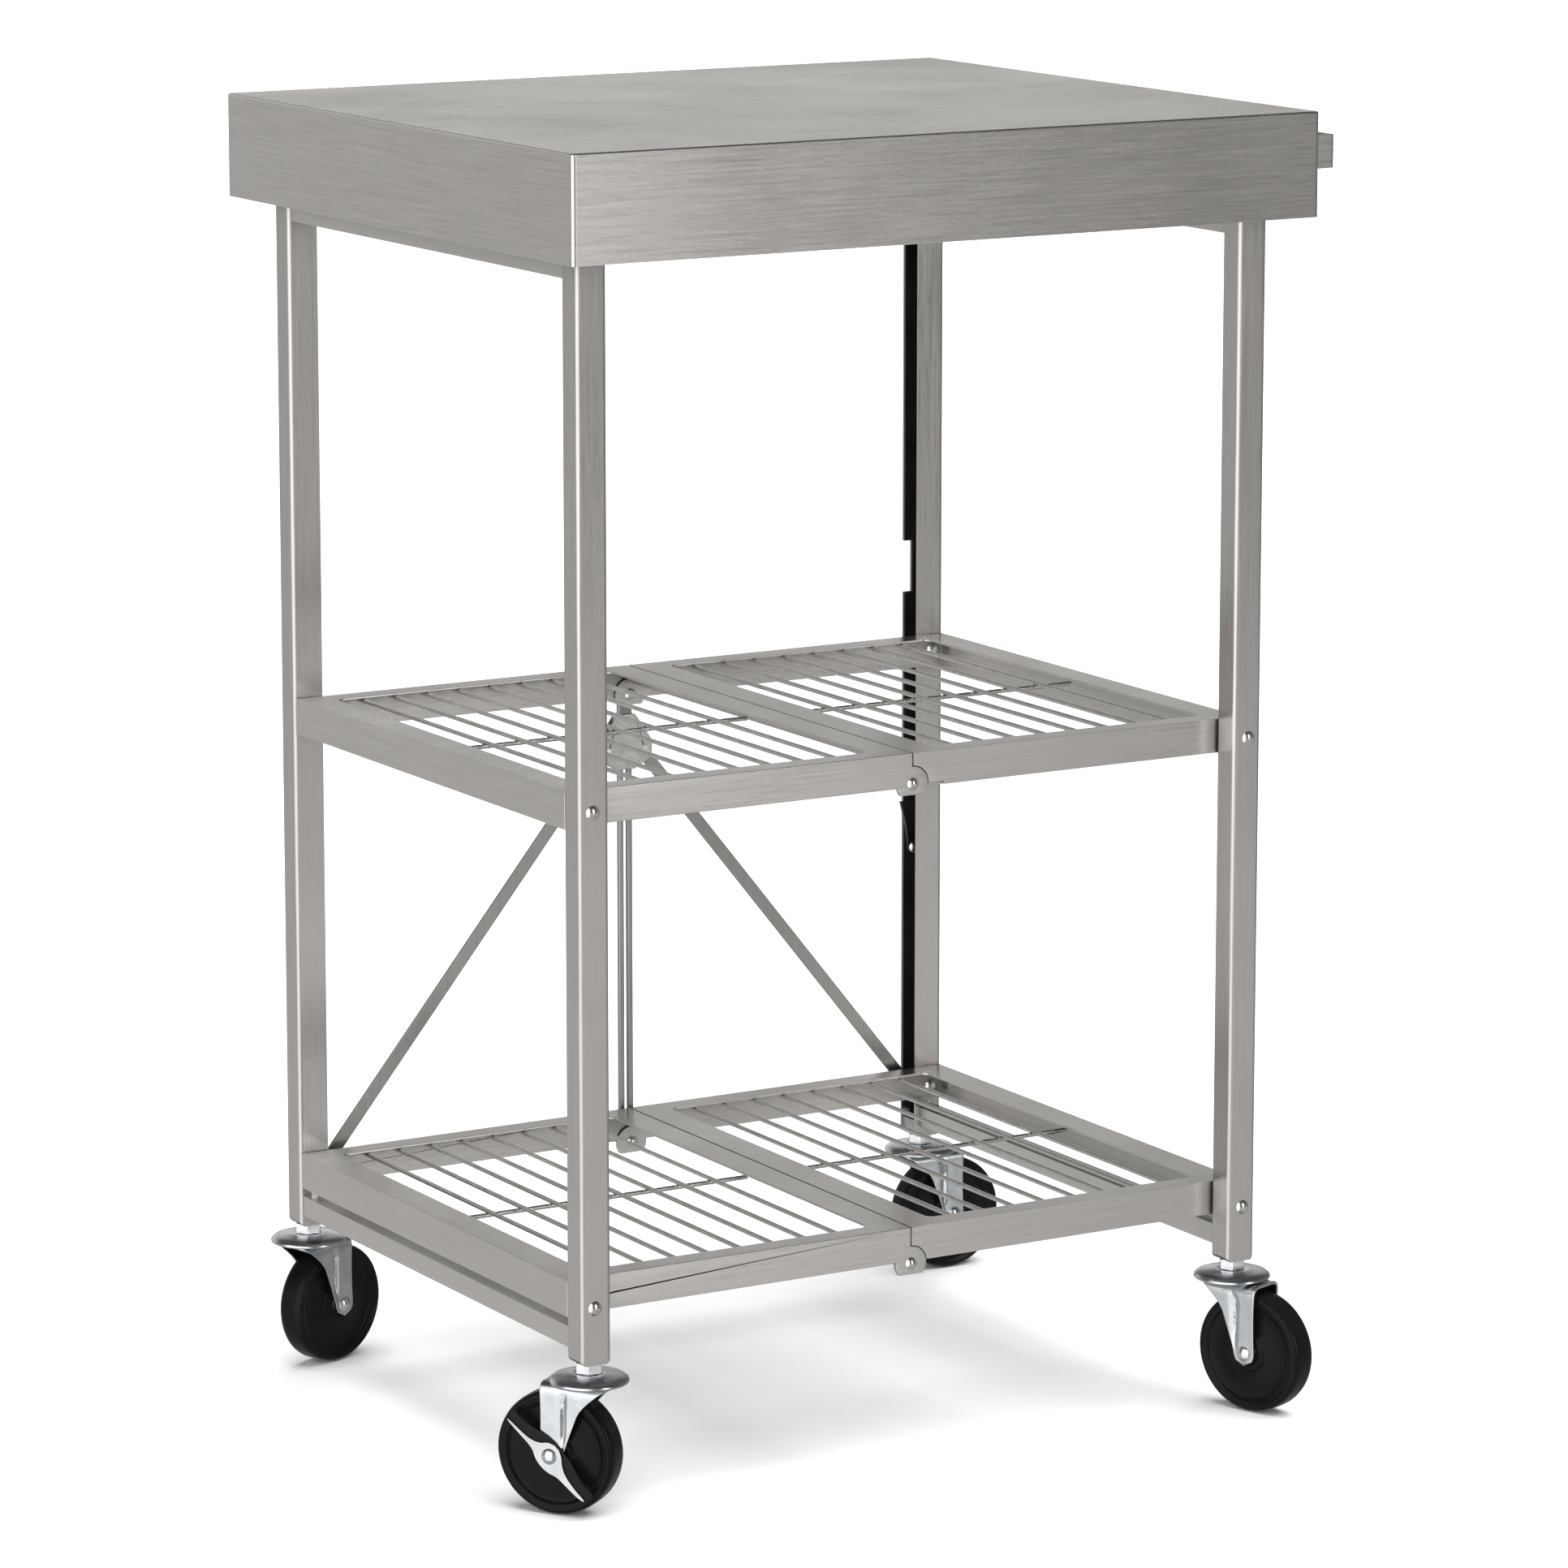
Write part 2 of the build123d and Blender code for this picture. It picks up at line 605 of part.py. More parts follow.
# ---- casters ------------------------------------------------------------------------------------
def at_caster(shape, name):
    """Turns a caster piece, drawn with its stem on the Z axis and trailing along +X, and puts it in place."""
    side = -1 if name.endswith("left") else 1
    row = -1 if name.startswith("front") else 1
    return Pos(side * stem_x, row * stem_y, 0) * Rot(0, 0, rest_swivel[name]) * shape


def caster_fork():
    """The swivel fork: top disc, ball race, crown and two side plates."""
    fork = round_z(0, 0, (fork_disc_top - fork_disc_thickness, fork_disc_top), fork_disc_radius)
    fork += round_z(0, 0, (fork_disc_top - fork_disc_thickness - race_height, fork_disc_top), race_radius)
    crown_top = crown_bottom + crown_height
    fork += block((-fork_back, fork_front), (-fork_outer, fork_outer), (crown_bottom, crown_top))
    for row in (-1, 1):
        ys = (row * fork_inner, row * fork_outer)
        plate = plate_y([(-fork_back, crown_top), (fork_front, crown_top), (trail + fork_eye, wheel_radius),
                         (trail - fork_eye, wheel_radius), (-fork_waist, fork_waist_height),
                         (-fork_back, crown_bottom)], ys)
        plate += round_y(trail, wheel_radius, ys, fork_eye)
        fork += plate - round_y(trail, wheel_radius, ys, axle_radius)
    return fork - round_z(0, 0, (crown_bottom, fork_disc_top), stem_radius + running_gap)


def caster_axle(braked):
    """The axle bolt, longer on a caster with a brake."""
    head_y = brake_outer + side_gap if braked else fork_outer
    axle = round_y(trail, wheel_radius, (-fork_outer, head_y), axle_radius)
    axle += dome_y(trail, wheel_radius, head_y, 1, axle_head_radius, axle_head_height)
    return axle + dome_y(trail, wheel_radius, -fork_outer, -1, axle_head_radius, axle_head_height)


def caster_wheel():
    """The wheel: a solid round tread with a raised rim and a dished face on each side."""
    half = wheel_width / 2
    wheel = round_y(trail, wheel_radius, (-half, half), wheel_radius)
    wheel = fillet(wheel.edges().filter_by(GeomType.CIRCLE), wheel_edge)
    for row in (-1, 1):
        dish = round_y(trail, wheel_radius, (row * (half - wheel_dish), row * half), wheel_radius - wheel_rim)
        dish -= round_y(trail, wheel_radius, (row * (half - wheel_dish), row * half), wheel_hub_radius)
        wheel -= dish
    return wheel - round_y(trail, wheel_radius, (-half, half), bush_radius)


def caster_bush():
    """The steel bush in the wheel, which turns on the axle."""
    half = wheel_width / 2 + bush_proud
    bush = round_y(trail, wheel_radius, (-half, half), bush_radius)
    return bush - round_y(trail, wheel_radius, (-half, half), axle_radius + running_gap)


def brake_bar(ys, length, width):
    """A sloping bar across the wheel, centred and drilled on the axle."""
    reach = (length - width) / 2
    step = (reach * cos(radians(brake_angle)), reach * sin(radians(brake_angle)))
    low = (trail - step[0], wheel_radius - step[1])
    high = (trail + step[0], wheel_radius + step[1])
    bar = bar_between(low, high, ys, width, axle_radius / 2)
    for place in (low, high):
        bar += round_y(place[0], place[1], ys, width / 2)
    return bar - round_y(trail, wheel_radius, ys, axle_radius + running_gap)


def brake_pad():
    """The black plastic rocker of a brake pedal."""
    return brake_bar((brake_inner, brake_inner + brake_sheet), brake_length, brake_pad_width)


def brake_strap():
    """The bright steel strap on top of a brake pedal's rocker."""
    return brake_bar((brake_inner + brake_sheet, brake_outer), brake_length, brake_width)


# ---- the whole cart -----------------------------------------------------------------------------
nodes = {
    "top_pan": top_pan(),
    "top_stiffeners": top_stiffeners(),
    "top_corner_blocks": corner_blocks(),
    "side_handle": side_handle(),
    "side_handle_screws": handle_screws(),
    "left_front_leg": leg(-1, -1),
    "left_back_leg": leg(-1, 1),
    "right_front_leg": leg(1, -1),
    "right_back_leg": back_right_leg(),
    "right_lock_bar": lock_bar(),
    "right_lever_bolt": lever_bolt(),
    "right_lock_lever": lock_lever(),
    "centre_rod": centre_rod(),
    "slide_bracket": slide_bracket(),
    "slide_bracket_pins": bracket_pins(),
}
for side, word in ((-1, "left"), (1, "right")):
    nodes[word + "_top_rail"] = cross_rail(side, top_rail_bottom, top_rail_height)
    nodes[word + "_foot_rail"] = cross_rail(side, foot_rail_bottom, foot_rail_height)
    nodes[word + "_leg_plugs"] = leg_plugs(side)
    nodes[word + "_foot_plates"] = foot_plates(side)
    nodes[word + "_frame_pins"] = frame_pins(side)
    nodes[word + "_caster_stems"] = caster_stems(side)
    nodes[word + "_brace"] = brace(side)
    nodes["middle_" + word + "_tray"] = tray(side, middle_shelf_top, middle_pivot_height)
    nodes["middle_" + word + "_wires"] = wire_grid(side, middle_shelf_top)
    nodes["bottom_" + word + "_tray"] = tray(side, bottom_shelf_top, bottom_pivot_height)
    nodes["bottom_" + word + "_wires"] = wire_grid(side, bottom_shelf_top)
nodes["middle_knee_pins"] = knee_pins(middle_knee)
nodes["bottom_knee_pins"] = knee_pins(bottom_knee)
for corner in rest_swivel:
    nodes["caster_" + corner + "_fork"] = at_caster(caster_fork(), corner)
    nodes["caster_" + corner + "_axle"] = at_caster(caster_axle(corner in brake_casters), corner)
    nodes["caster_" + corner + "_wheel"] = at_caster(caster_wheel(), corner)
    nodes["caster_" + corner + "_bush"] = at_caster(caster_bush(), corner)
    if corner in brake_casters:
        nodes["caster_" + corner + "_brake_pad"] = at_caster(brake_pad(), corner)
        nodes["caster_" + corner + "_brake_strap"] = at_caster(brake_strap(), corner)

boxes = [shape.bounding_box() for shape in nodes.values()]
low_x = min(box.min.X for box in boxes)
high_x = max(box.max.X for box in boxes)
low_y = min(box.min.Y for box in boxes)
high_y = max(box.max.Y for box in boxes)
low_z = min(box.min.Z for box in boxes)
shift = (-(low_x + high_x) / 2, -(low_y + high_y) / 2, -low_z)
print("origin shift", [round(value, 4) for value in shift], "nodes", len(nodes))

os.makedirs("parts", exist_ok=True)
for name, shape in nodes.items():
    export_step(Pos(*shift) * shape, "parts/" + name + ".step")
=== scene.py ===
import json
import math

import bmesh
import bpy
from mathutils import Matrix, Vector


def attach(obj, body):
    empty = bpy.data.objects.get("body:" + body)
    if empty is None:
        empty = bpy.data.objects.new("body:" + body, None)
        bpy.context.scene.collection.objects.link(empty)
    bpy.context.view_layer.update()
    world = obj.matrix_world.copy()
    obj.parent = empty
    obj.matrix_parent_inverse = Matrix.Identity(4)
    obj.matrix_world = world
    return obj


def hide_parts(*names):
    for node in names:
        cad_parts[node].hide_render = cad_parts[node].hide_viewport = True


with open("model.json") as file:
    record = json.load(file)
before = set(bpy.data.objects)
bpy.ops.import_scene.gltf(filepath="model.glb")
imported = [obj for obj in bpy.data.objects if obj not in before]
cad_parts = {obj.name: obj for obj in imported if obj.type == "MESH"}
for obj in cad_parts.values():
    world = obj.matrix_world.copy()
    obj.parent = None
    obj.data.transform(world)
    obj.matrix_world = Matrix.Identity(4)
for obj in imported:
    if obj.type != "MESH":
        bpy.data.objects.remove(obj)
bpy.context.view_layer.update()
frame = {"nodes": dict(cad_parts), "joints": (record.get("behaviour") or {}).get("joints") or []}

# ---- Room and camera ------------------------------------------------------------------------------
# A plain pale floor under one broad, soft overhead light. The steel shows the room round it instead:
# dim walls with soft bright panels at the left, in front and behind, and a darker one at the right.
camera_data = bpy.data.cameras.new("camera")
camera_data.sensor_width = 36.0
camera_data.lens = 151.6
camera_data.shift_x = 0.0062
camera_data.shift_y = -0.0775
camera_data.clip_end = 200.0
camera = bpy.data.objects.new("camera", camera_data)
camera.location = (-2.2813, -3.8495, 1.3092)
camera.rotation_euler = (math.radians(90.0 - 10.078), 0.0, math.radians(-30.484))
bpy.context.scene.collection.objects.link(camera)
bpy.context.scene.camera = camera
bpy.context.scene.view_settings.view_transform = "Standard"


def link(tree, source, target):
    """Joins two sockets, each given as a socket or as (node, socket name)."""
    if isinstance(source, tuple):
        source = source[0].outputs[source[1]]
    if isinstance(target, tuple):
        target = target[0].inputs[target[1]]
    tree.links.new(source, target)


def math_node(tree, operation, first, second):
    """A math node on two values, each a socket or a number."""
    node = tree.nodes.new("ShaderNodeMath")
    node.operation = operation
    for index, value in enumerate((first, second)):
        if isinstance(value, (int, float)):
            node.inputs[index].default_value = value
        else:
            link(tree, value, node.inputs[index])
    return node.outputs["Value"]


def remap(tree, value, low, high, to_low, to_high, smooth=False):
    """A clamped map of one range onto another. The four ends are numbers."""
    node = tree.nodes.new("ShaderNodeMapRange")
    node.interpolation_type = "SMOOTHSTEP" if smooth else "LINEAR"
    node.inputs["From Min"].default_value = low
    node.inputs["From Max"].default_value = high
    node.inputs["To Min"].default_value = to_low
    node.inputs["To Max"].default_value = to_high
    link(tree, value, (node, "Value"))
    return node.outputs["Result"]


def vector_node(tree, operation, first, second):
    """A vector math node on two vectors, each a socket or three numbers."""
    node = tree.nodes.new("ShaderNodeVectorMath")
    node.operation = operation
    for index, value in enumerate((first, second)):
        if isinstance(value, tuple):
            node.inputs[index].default_value = value
        else:
            link(tree, value, node.inputs[index])
    return node


def sine(degrees):
    """The height of a direction at an elevation."""
    return math.sin(math.radians(degrees))


world = bpy.data.worlds.new("studio")
bpy.context.scene.world = world
world.use_nodes = True
room = world.node_tree
room.nodes.clear()
room_out = room.nodes.new("ShaderNodeOutputWorld")
room_place = room.nodes.new("ShaderNodeTexCoord")
room_axis = room.nodes.new("ShaderNodeSeparateXYZ")
link(room, (room_place, "Generated"), (room_axis, "Vector"))
height = room_axis.outputs["Z"]
level = vector_node(room, "MULTIPLY", room_place.outputs["Generated"], (1.0, 1.0, 0.0))
level = vector_node(room, "NORMALIZE", level.outputs["Vector"], (0.0, 0.0, 0.0)).outputs["Vector"]
wall_level = 0.20
ceiling_level = 0.09
floor_level = 0.20  # what the pale floor adds, seen from above
dim = remap(room, height, sine(-2.0), sine(45.0), wall_level, ceiling_level, True)
bounce = remap(room, height, sine(-4.0), sine(-20.0), 0.0, floor_level, True)
total = math_node(room, "ADD", dim, bounce)
# Each panel: azimuth, half width at full and at no strength, elevations of no, full, full and no
# strength from its foot to its head, and strength. Angles are in degrees. Less than 0 darkens.
panels = [
    (205.0, 32.0, 48.0, -60.0, -40.0, 35.0, 55.0, 0.95),
    (205.0, 32.0, 48.0, -15.0, -7.0, 35.0, 55.0, 0.95),
    (290.6, 5.6, 6.8, -4.5, 0.0, 24.0, 40.0, 5.2),
    (290.0, 10.0, 26.0, -22.0, -12.5, -10.8, -8.8, 0.75),
    (307.0, 9.0, 20.0, -10.5, -8.5, -5.0, 0.0, -0.17),
    (82.0, 13.0, 52.0, -5.0, 4.0, 18.0, 40.0, 0.68),
    (118.0, 14.0, 40.0, -50.0, -30.0, 0.0, 20.0, 0.26),
]
for azimuth, inner, outer, low_none, low_full, high_full, high_none, strength in panels:
    heading = (math.cos(math.radians(azimuth)), math.sin(math.radians(azimuth)), 0.0)
    facing = vector_node(room, "DOT_PRODUCT", level, heading).outputs["Value"]
    edge_cosine = math.cos(math.radians(outer))
    full_cosine = math.cos(math.radians(inner))
    across = remap(room, facing, edge_cosine, full_cosine, 0.0, strength, True)
    above = remap(room, height, sine(low_none), sine(low_full), 0.0, 1.0, True)
    below = remap(room, height, sine(high_none), sine(high_full), 0.0, 1.0, True)
    lit = math_node(room, "MULTIPLY", math_node(room, "MULTIPLY", across, above), below)
    total = math_node(room, "ADD", total, lit)
wall_light = room.nodes.new("ShaderNodeBackground")
wall_light.inputs["Color"].default_value = (1.0, 0.985, 0.965, 1.0)
link(room, total, (wall_light, "Strength"))
backdrop = room.nodes.new("ShaderNodeBackground")
backdrop.inputs["Color"].default_value = (1.0, 1.0, 1.0, 1.0)
ray = room.nodes.new("ShaderNodeLightPath")
room_mix = room.nodes.new("ShaderNodeMixShader")
link(room, (ray, "Is Camera Ray"), (room_mix, "Fac"))
link(room, (wall_light, "Background"), room_mix.inputs[1])
link(room, (backdrop, "Background"), room_mix.inputs[2])
link(room, (room_mix, "Shader"), (room_out, "Surface"))

overhead_data = bpy.data.lights.new("overhead", "SUN")
overhead_data.angle = math.radians(70.0)
overhead_data.energy = 5.0
overhead = bpy.data.objects.new("overhead", overhead_data)
overhead.rotation_euler = (math.radians(8.0), math.radians(10.0), 0.0)
overhead.visible_glossy = False
bpy.context.scene.collection.objects.link(overhead)

floor_mesh = bpy.data.meshes.new("floor")
floor_shape = bmesh.new()
floor_radius = 60.0  # metres, so that its edge is out of sight
bmesh.ops.create_circle(floor_shape, cap_ends=True, segments=96, radius=floor_radius)
floor_shape.to_mesh(floor_mesh)
floor_shape.free()
floor = bpy.data.objects.new("floor", floor_mesh)
floor.visible_glossy = False
bpy.context.scene.collection.objects.link(floor)
floor_finish = bpy.data.materials.new("floor_paint")
floor_finish.use_nodes = True
floor_shader = floor_finish.node_tree.nodes["Principled BSDF"]
floor_shader.inputs["Base Color"].default_value = (0.93, 0.93, 0.93, 1.0)
floor_shader.inputs["Roughness"].default_value = 0.9
floor_mesh.materials.append(floor_finish)


# ---- Top pan --------------------------------------------------------------------------------------
# The worktop is one stainless sheet folded down on all four sides, brushed along its length, with
# tight rounded folds. The two channels welded under it are bare galvanised steel.
def new_group(name, inputs, outputs):
    """An empty shader node group with its inputs and outputs, and its two end nodes."""
    group = bpy.data.node_groups.new(name, "ShaderNodeTree")
    for socket_name, kind, value in inputs:
        socket = group.interface.new_socket(socket_name, in_out="INPUT", socket_type=kind)
        socket.default_value = value
    for socket_name, kind in outputs:
        group.interface.new_socket(socket_name, in_out="OUTPUT", socket_type=kind)
    return group, group.nodes.new("NodeGroupInput"), group.nodes.new("NodeGroupOutput")


def noise(tree, place, scale, detail):
    """A noise texture on a place, in cycles per metre."""
    node = tree.nodes.new("ShaderNodeTexNoise")
    node.inputs["Scale"].default_value = scale
    node.inputs["Detail"].default_value = detail
    node.inputs["Roughness"].default_value = 0.55
    link(tree, place, (node, "Vector"))
    return node.outputs["Fac"]


# The brushed grain: straight scratches, long along the grain and narrow across it. "Upright" is 1
# where the grain runs up the piece, as on a leg, and 0 where it runs level, as on the pan. "Across"
# is the direction that the gloss is stretched in.
grain_group, grain_in, grain_out = new_group(
    "brushed_grain",
    [("Upright", "NodeSocketFloat", 0.0), ("Length", "NodeSocketFloat", 28.0),
     ("Width", "NodeSocketFloat", 1300.0)],
    [("Streaks", "NodeSocketFloat"), ("Clouds", "NodeSocketFloat"), ("Height", "NodeSocketFloat"),
     ("Across", "NodeSocketVector")])
grain_place = grain_group.nodes.new("ShaderNodeTexCoord")
grain_surface = grain_group.nodes.new("ShaderNodeNewGeometry")
grain_normal = grain_group.nodes.new("ShaderNodeSeparateXYZ")
link(grain_group, (grain_surface, "True Normal"), (grain_normal, "Vector"))
lying = math_node(grain_group, "ABSOLUTE", grain_normal.outputs["Z"], 0.0)
lying = remap(grain_group, lying, 0.6, 0.8, 0.0, 1.0)


def pick(tree, share, first, second):
    """A mix of two values by a share."""
    node = tree.nodes.new("ShaderNodeMix")
    node.data_type = "FLOAT"
    link(tree, share, node.inputs[0])
    link(tree, first, node.inputs[2])
    link(tree, second, node.inputs[3])
    return node.outputs[0]


level_y = pick(grain_group, lying, grain_in.outputs["Length"], grain_in.outputs["Width"])
level_z = pick(grain_group, lying, grain_in.outputs["Width"], grain_in.outputs["Length"])
stretch = grain_group.nodes.new("ShaderNodeCombineXYZ")
for axis, if_level, if_upright in (("X", grain_in.outputs["Length"], grain_in.outputs["Width"]),
                                   ("Y", level_y, grain_in.outputs["Width"]),
                                   ("Z", level_z, grain_in.outputs["Length"])):
    link(grain_group, pick(grain_group, grain_in.outputs["Upright"], if_level, if_upright), (stretch, axis))
stretched = vector_node(grain_group, "MULTIPLY", grain_place.outputs["Object"], stretch.outputs["Vector"])
coarse = noise(grain_group, stretched.outputs["Vector"], 0.45, 3.0)
fine = noise(grain_group, stretched.outputs["Vector"], 1.6, 2.0)
streaks = math_node(grain_group, "ADD", math_node(grain_group, "MULTIPLY", coarse, 0.6),
                    math_node(grain_group, "MULTIPLY", fine, 0.4))
link(grain_group, remap(grain_group, streaks, 0.3, 0.7, 0.0, 1.0), (grain_out, "Streaks"))
link(grain_group, streaks, (grain_out, "Height"))
clouds = noise(grain_group, grain_place.outputs["Object"], 7.0, 3.0)
link(grain_group, remap(grain_group, clouds, 0.32, 0.68, 0.0, 1.0), (grain_out, "Clouds"))
sideways = vector_node(grain_group, "CROSS_PRODUCT", grain_surface.outputs["Normal"], (0.0, 0.0, 1.0))
level_across = grain_group.nodes.new("ShaderNodeMix")
level_across.data_type = "VECTOR"
link(grain_group, lying, level_across.inputs[0])
level_across.inputs[4].default_value = (0.0, 0.0, 1.0)
level_across.inputs[5].default_value = (0.0, 1.0, 0.0)
across_mix = grain_group.nodes.new("ShaderNodeMix")
across_mix.data_type = "VECTOR"
link(grain_group, grain_in.outputs["Upright"], across_mix.inputs[0])
link(grain_group, level_across.outputs[1], across_mix.inputs[4])
link(grain_group, sideways.outputs["Vector"], across_mix.inputs[5])
link(grain_group, across_mix.outputs[1], (grain_out, "Across"))

# Edge wear: a mask of the outer edges, where handling has polished or bared the metal.
wear_group, wear_in, wear_out = new_group(
    "edge_wear", [("Breakup", "NodeSocketFloat", 60.0)], [("Mask", "NodeSocketFloat")])
wear_bevel = wear_group.nodes.new("ShaderNodeBevel")
wear_bevel.samples = 4
wear_width = 0.0012
wear_bevel.inputs["Radius"].default_value = wear_width
wear_surface = wear_group.nodes.new("ShaderNodeNewGeometry")
turned = vector_node(wear_group, "DOT_PRODUCT", wear_bevel.outputs["Normal"], wear_surface.outputs["Normal"])
edge = remap(wear_group, turned.outputs["Value"], 0.995, 0.8, 0.0, 1.0)
wear_place = wear_group.nodes.new("ShaderNodeTexCoord")
wear_noise = wear_group.nodes.new("ShaderNodeTexNoise")
wear_noise.inputs["Detail"].default_value = 2.0
link(wear_group, (wear_place, "Object"), (wear_noise, "Vector"))
link(wear_group, (wear_in, "Breakup"), (wear_noise, "Scale"))
worn = remap(wear_group, wear_noise.outputs["Fac"], 0.35, 0.6, 0.25, 1.0)
link(wear_group, math_node(wear_group, "MULTIPLY", edge, worn), (wear_out, "Mask"))

# Painted shade: an ambient occlusion mask that darkens corners and covered faces, where less light gets in.
painted_shade_group, painted_shade_in, painted_shade_out = new_group(
    "recess_shade", [("Reach", "NodeSocketFloat", 0.05)], [("Shade", "NodeSocketFloat")])
reach = painted_shade_group.nodes.new("ShaderNodeAmbientOcclusion")
reach.samples = 6
link(painted_shade_group, (painted_shade_in, "Reach"), (reach, "Distance"))
link(painted_shade_group, remap(painted_shade_group, reach.outputs["AO"], 0.25, 0.85, 0.35, 1.0), (painted_shade_out, "Shade"))


def place_group(tree, group, values):
    """One use of a shader node group in a material, with its own values."""
    node = tree.nodes.new("ShaderNodeGroup")
    node.node_tree = group
    for name, value in values.items():
        node.inputs[name].default_value = value
    return node


def blend_colours(tree, share, first, second):
    """A colour that runs from one to another. Each is a socket or three numbers."""
    node = tree.nodes.new("ShaderNodeMix")
    node.data_type = "RGBA"
    link(tree, share, node.inputs[0])
    for index, value in ((6, first), (7, second)):
        if isinstance(value, tuple):
            node.inputs[index].default_value = (*value, 1.0)
        else:
            link(tree, value, node.inputs[index])
    return node.outputs[2]


def bump(tree, height, strength, distance):
    """A bump from a height, as a normal."""
    node = tree.nodes.new("ShaderNodeBump")
    node.inputs["Strength"].default_value = strength
    node.inputs["Distance"].default_value = distance
    link(tree, height, (node, "Height"))
    return node.outputs["Normal"]


def brushed_steel(name, upright, tone, contrast, roughness, pull, length=28.0, width=1300.0):
    """Brushed stainless: its grain's direction, tone, streak contrast, roughness and stretch of gloss."""
    material = bpy.data.materials.new(name)
    material.use_nodes = True
    tree = material.node_tree
    shader = tree.nodes["Principled BSDF"]
    shader.inputs["Metallic"].default_value = 1.0
    shader.inputs["Anisotropic"].default_value = pull
    grain = place_group(tree, grain_group, {"Upright": upright, "Length": length, "Width": width})
    wear = place_group(tree, wear_group, {"Breakup": 90.0})
    dark = tuple(value * (1.0 - contrast) for value in tone)
    light = tuple(min(1.0, value * (1.0 + contrast)) for value in tone)
    colour = blend_colours(tree, grain.outputs["Streaks"], dark, light)
    clouded = tuple(value * 0.94 for value in tone)
    cloud_share = math_node(tree, "MULTIPLY", grain.outputs["Clouds"], 0.35)
    colour = blend_colours(tree, cloud_share, colour, clouded)
    worn_share = math_node(tree, "MULTIPLY", wear.outputs["Mask"], 0.45)
    colour = blend_colours(tree, worn_share, colour, (0.82, 0.81, 0.79))
    # Painted shade: the colour runs down to a tenth of its tone in corners and covered faces, by the ambient
    # occlusion mask.
    recess_shade = place_group(tree, painted_shade_group, {"Reach": 0.05})
    shadowed = tuple(value * 0.1 for value in tone)
    colour = blend_colours(tree, recess_shade.outputs["Shade"], shadowed, colour)
    link(tree, colour, (shader, "Base Color"))
    base_rough = remap(tree, grain.outputs["Streaks"], 0.0, 1.0, roughness - 0.04, roughness + 0.05)
    smudge = math_node(tree, "MULTIPLY", grain.outputs["Clouds"], 0.05)
    link(tree, math_node(tree, "ADD", base_rough, smudge), (shader, "Roughness"))
    link(tree, (grain, "Across"), (shader, "Tangent"))
    link(tree, bump(tree, grain.outputs["Height"], 0.12, 0.0003), (shader, "Normal"))
    return material


def finish_node(name, material):
    """Gives a CAD node its one finish."""
    mesh = frame["nodes"][name].data
    if not mesh.materials:
        mesh.materials.append(material)
    for index in range(len(mesh.materials)):
        mesh.materials[index] = material


def ease_edges(name, width, segments=2):
    """Rounds the sharp edges of a CAD node a little, as a deburred sheet edge is, without moving it."""
    piece = frame["nodes"][name]
    weld = piece.modifiers.new("join", "WELD")
    weld.merge_threshold = 0.00001
    ease = piece.modifiers.new("ease", "BEVEL")
    ease.width = width
    ease.segments = segments
    ease.limit_method = "ANGLE"
    ease.angle_limit = math.radians(35.0)
    ease.use_clamp_overlap = True
    even = piece.modifiers.new("even", "WEIGHTED_NORMAL")
    even.keep_sharp = False


pan_steel = brushed_steel("pan_steel", 0.0, (0.60, 0.585, 0.57), 0.10, 0.23, 0.8)
finish_node("top_pan", pan_steel)


def galvanised(name, tone, roughness):
    """Zinc-coated sheet: faint crystals of slightly different greys."""
    material = bpy.data.materials.new(name)
    material.use_nodes = True
    tree = material.node_tree
    shader = tree.nodes["Principled BSDF"]
    shader.inputs["Metallic"].default_value = 1.0
    place = tree.nodes.new("ShaderNodeTexCoord")
    crystals = tree.nodes.new("ShaderNodeTexVoronoi")
    crystals.inputs["Scale"].default_value = 160.0
    link(tree, (place, "Object"), (crystals, "Vector"))
    share = tree.nodes.new("ShaderNodeSeparateColor")
    link(tree, (crystals, "Color"), (share, "Color"))
    dark = tuple(value * 0.82 for value in tone)
    link(tree, blend_colours(tree, share.outputs["Red"], dark, tone), (shader, "Base Color"))
    crystal_rough = remap(tree, share.outputs["Green"], 0.0, 1.0, roughness - 0.06, roughness + 0.08)
    link(tree, crystal_rough, (shader, "Roughness"))
    fine_height = noise(tree, place.outputs["Object"], 900.0, 2.0)
    link(tree, bump(tree, fine_height, 0.15, 0.0002), (shader, "Normal"))
    return material


inner_zinc = galvanised("inner_zinc", (0.55, 0.56, 0.57), 0.42)
finish_node("top_stiffeners", inner_zinc)
ease_edges("top_stiffeners", 0.0004)


# The four corner blocks under the worktop are moulded black plastic that sits round the leg tops.
def moulded_plastic(name, tone, roughness, shine, texture_scale, depth):
    """Moulded plastic: a fine spark-eroded texture, rubbed lighter at its edges."""
    material = bpy.data.materials.new(name)
    material.use_nodes = True
    tree = material.node_tree
    shader = tree.nodes["Principled BSDF"]
    shader.inputs["IOR"].default_value = 1.49
    shader.inputs["Specular IOR Level"].default_value = shine
    place = tree.nodes.new("ShaderNodeTexCoord")
    texture = noise(tree, place.outputs["Object"], texture_scale, 3.0)
    patches = noise(tree, place.outputs["Object"], 22.0, 3.0)
    wear = place_group(tree, wear_group, {"Breakup": 120.0})
    lighter = tuple(value * 1.5 + 0.002 for value in tone)
    colour = blend_colours(tree, remap(tree, patches, 0.35, 0.7, 0.0, 0.6), tone, lighter)
    worn_share = math_node(tree, "MULTIPLY", wear.outputs["Mask"], 0.5)
    colour = blend_colours(tree, worn_share, colour, tuple(value * 2.5 + 0.012 for value in tone))
    link(tree, colour, (shader, "Base Color"))
    link(tree, remap(tree, patches, 0.3, 0.7, roughness - 0.05, roughness + 0.08), (shader, "Roughness"))
    link(tree, bump(tree, texture, depth, 0.0002), (shader, "Normal"))
    return material


